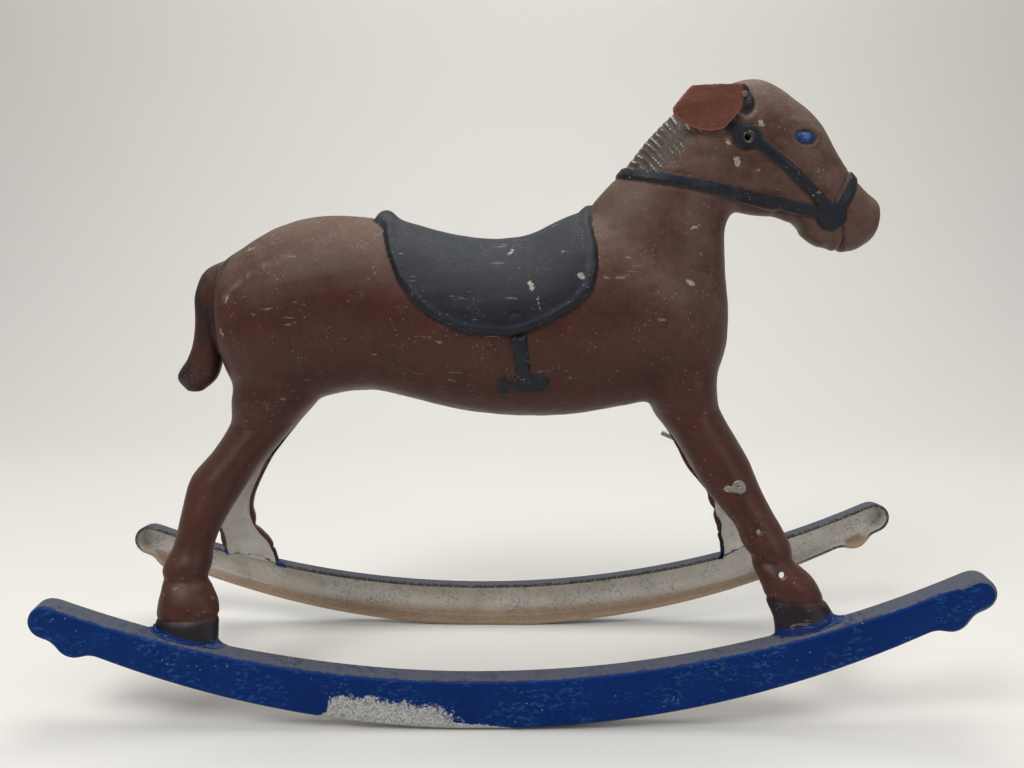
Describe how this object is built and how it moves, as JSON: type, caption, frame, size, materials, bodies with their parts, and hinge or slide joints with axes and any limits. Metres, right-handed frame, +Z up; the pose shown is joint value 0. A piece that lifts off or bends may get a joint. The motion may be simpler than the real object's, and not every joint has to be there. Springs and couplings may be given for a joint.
{
  "type": "rocking horse",
  "caption": "Child's vintage rocking horse: a hollow cast horse with painted saddle and bridle, standing with splayed legs on two curved channel rockers.",
  "frame": {"origin": "on the floor, at the middle of the object's length and width", "axes": "+X along the rockers towards the horse's head, +Y to the horse's left, +Z up"},
  "size_m": [0.9094, 0.25, 0.6181],
  "materials": {
    "body_paint": "old reddish-brown enamel, dusty and chipped, with black saddle and bridle, on cast aluminium",
    "rocker_paint": "blue enamel, worn to grey metal along the top edges",
    "steel": "dull zinc-plated steel",
    "leather": "dry reddish-brown leather with scuffed edges"
  },
  "bodies": {
    "horse": {"right_shell": "body_paint", "left_shell": "body_paint", "right_rocker": "rocker_paint", "left_rocker": "rocker_paint", "right_hoof_welds": "rocker_paint", "left_hoof_welds": "rocker_paint", "shell_screws": "steel", "handle_tube": "steel", "foot_rod": "steel", "right_rod_washer": "steel", "left_rod_washer": "steel", "right_rod_nut": "steel", "left_rod_nut": "steel", "right_ear_tack": "steel", "left_ear_tack": "steel"},
    "right_ear_leather": {"right_ear": "leather"},
    "left_ear_leather": {"left_ear": "leather"}
  },
  "joints": [
    {"name": "right_ear_swivel", "type": "hinge", "parent": "horse", "child": "right_ear_leather", "pos_m": [0.22112, -0.0344, 0.59919], "axis": [0, 1, 0], "range_deg": [-20, 15]},
    {"name": "left_ear_swivel", "type": "hinge", "parent": "horse", "child": "left_ear_leather", "pos_m": [0.22112, 0.0344, 0.59919], "axis": [0, 1, 0], "range_deg": [-8, 27]}
  ]
}
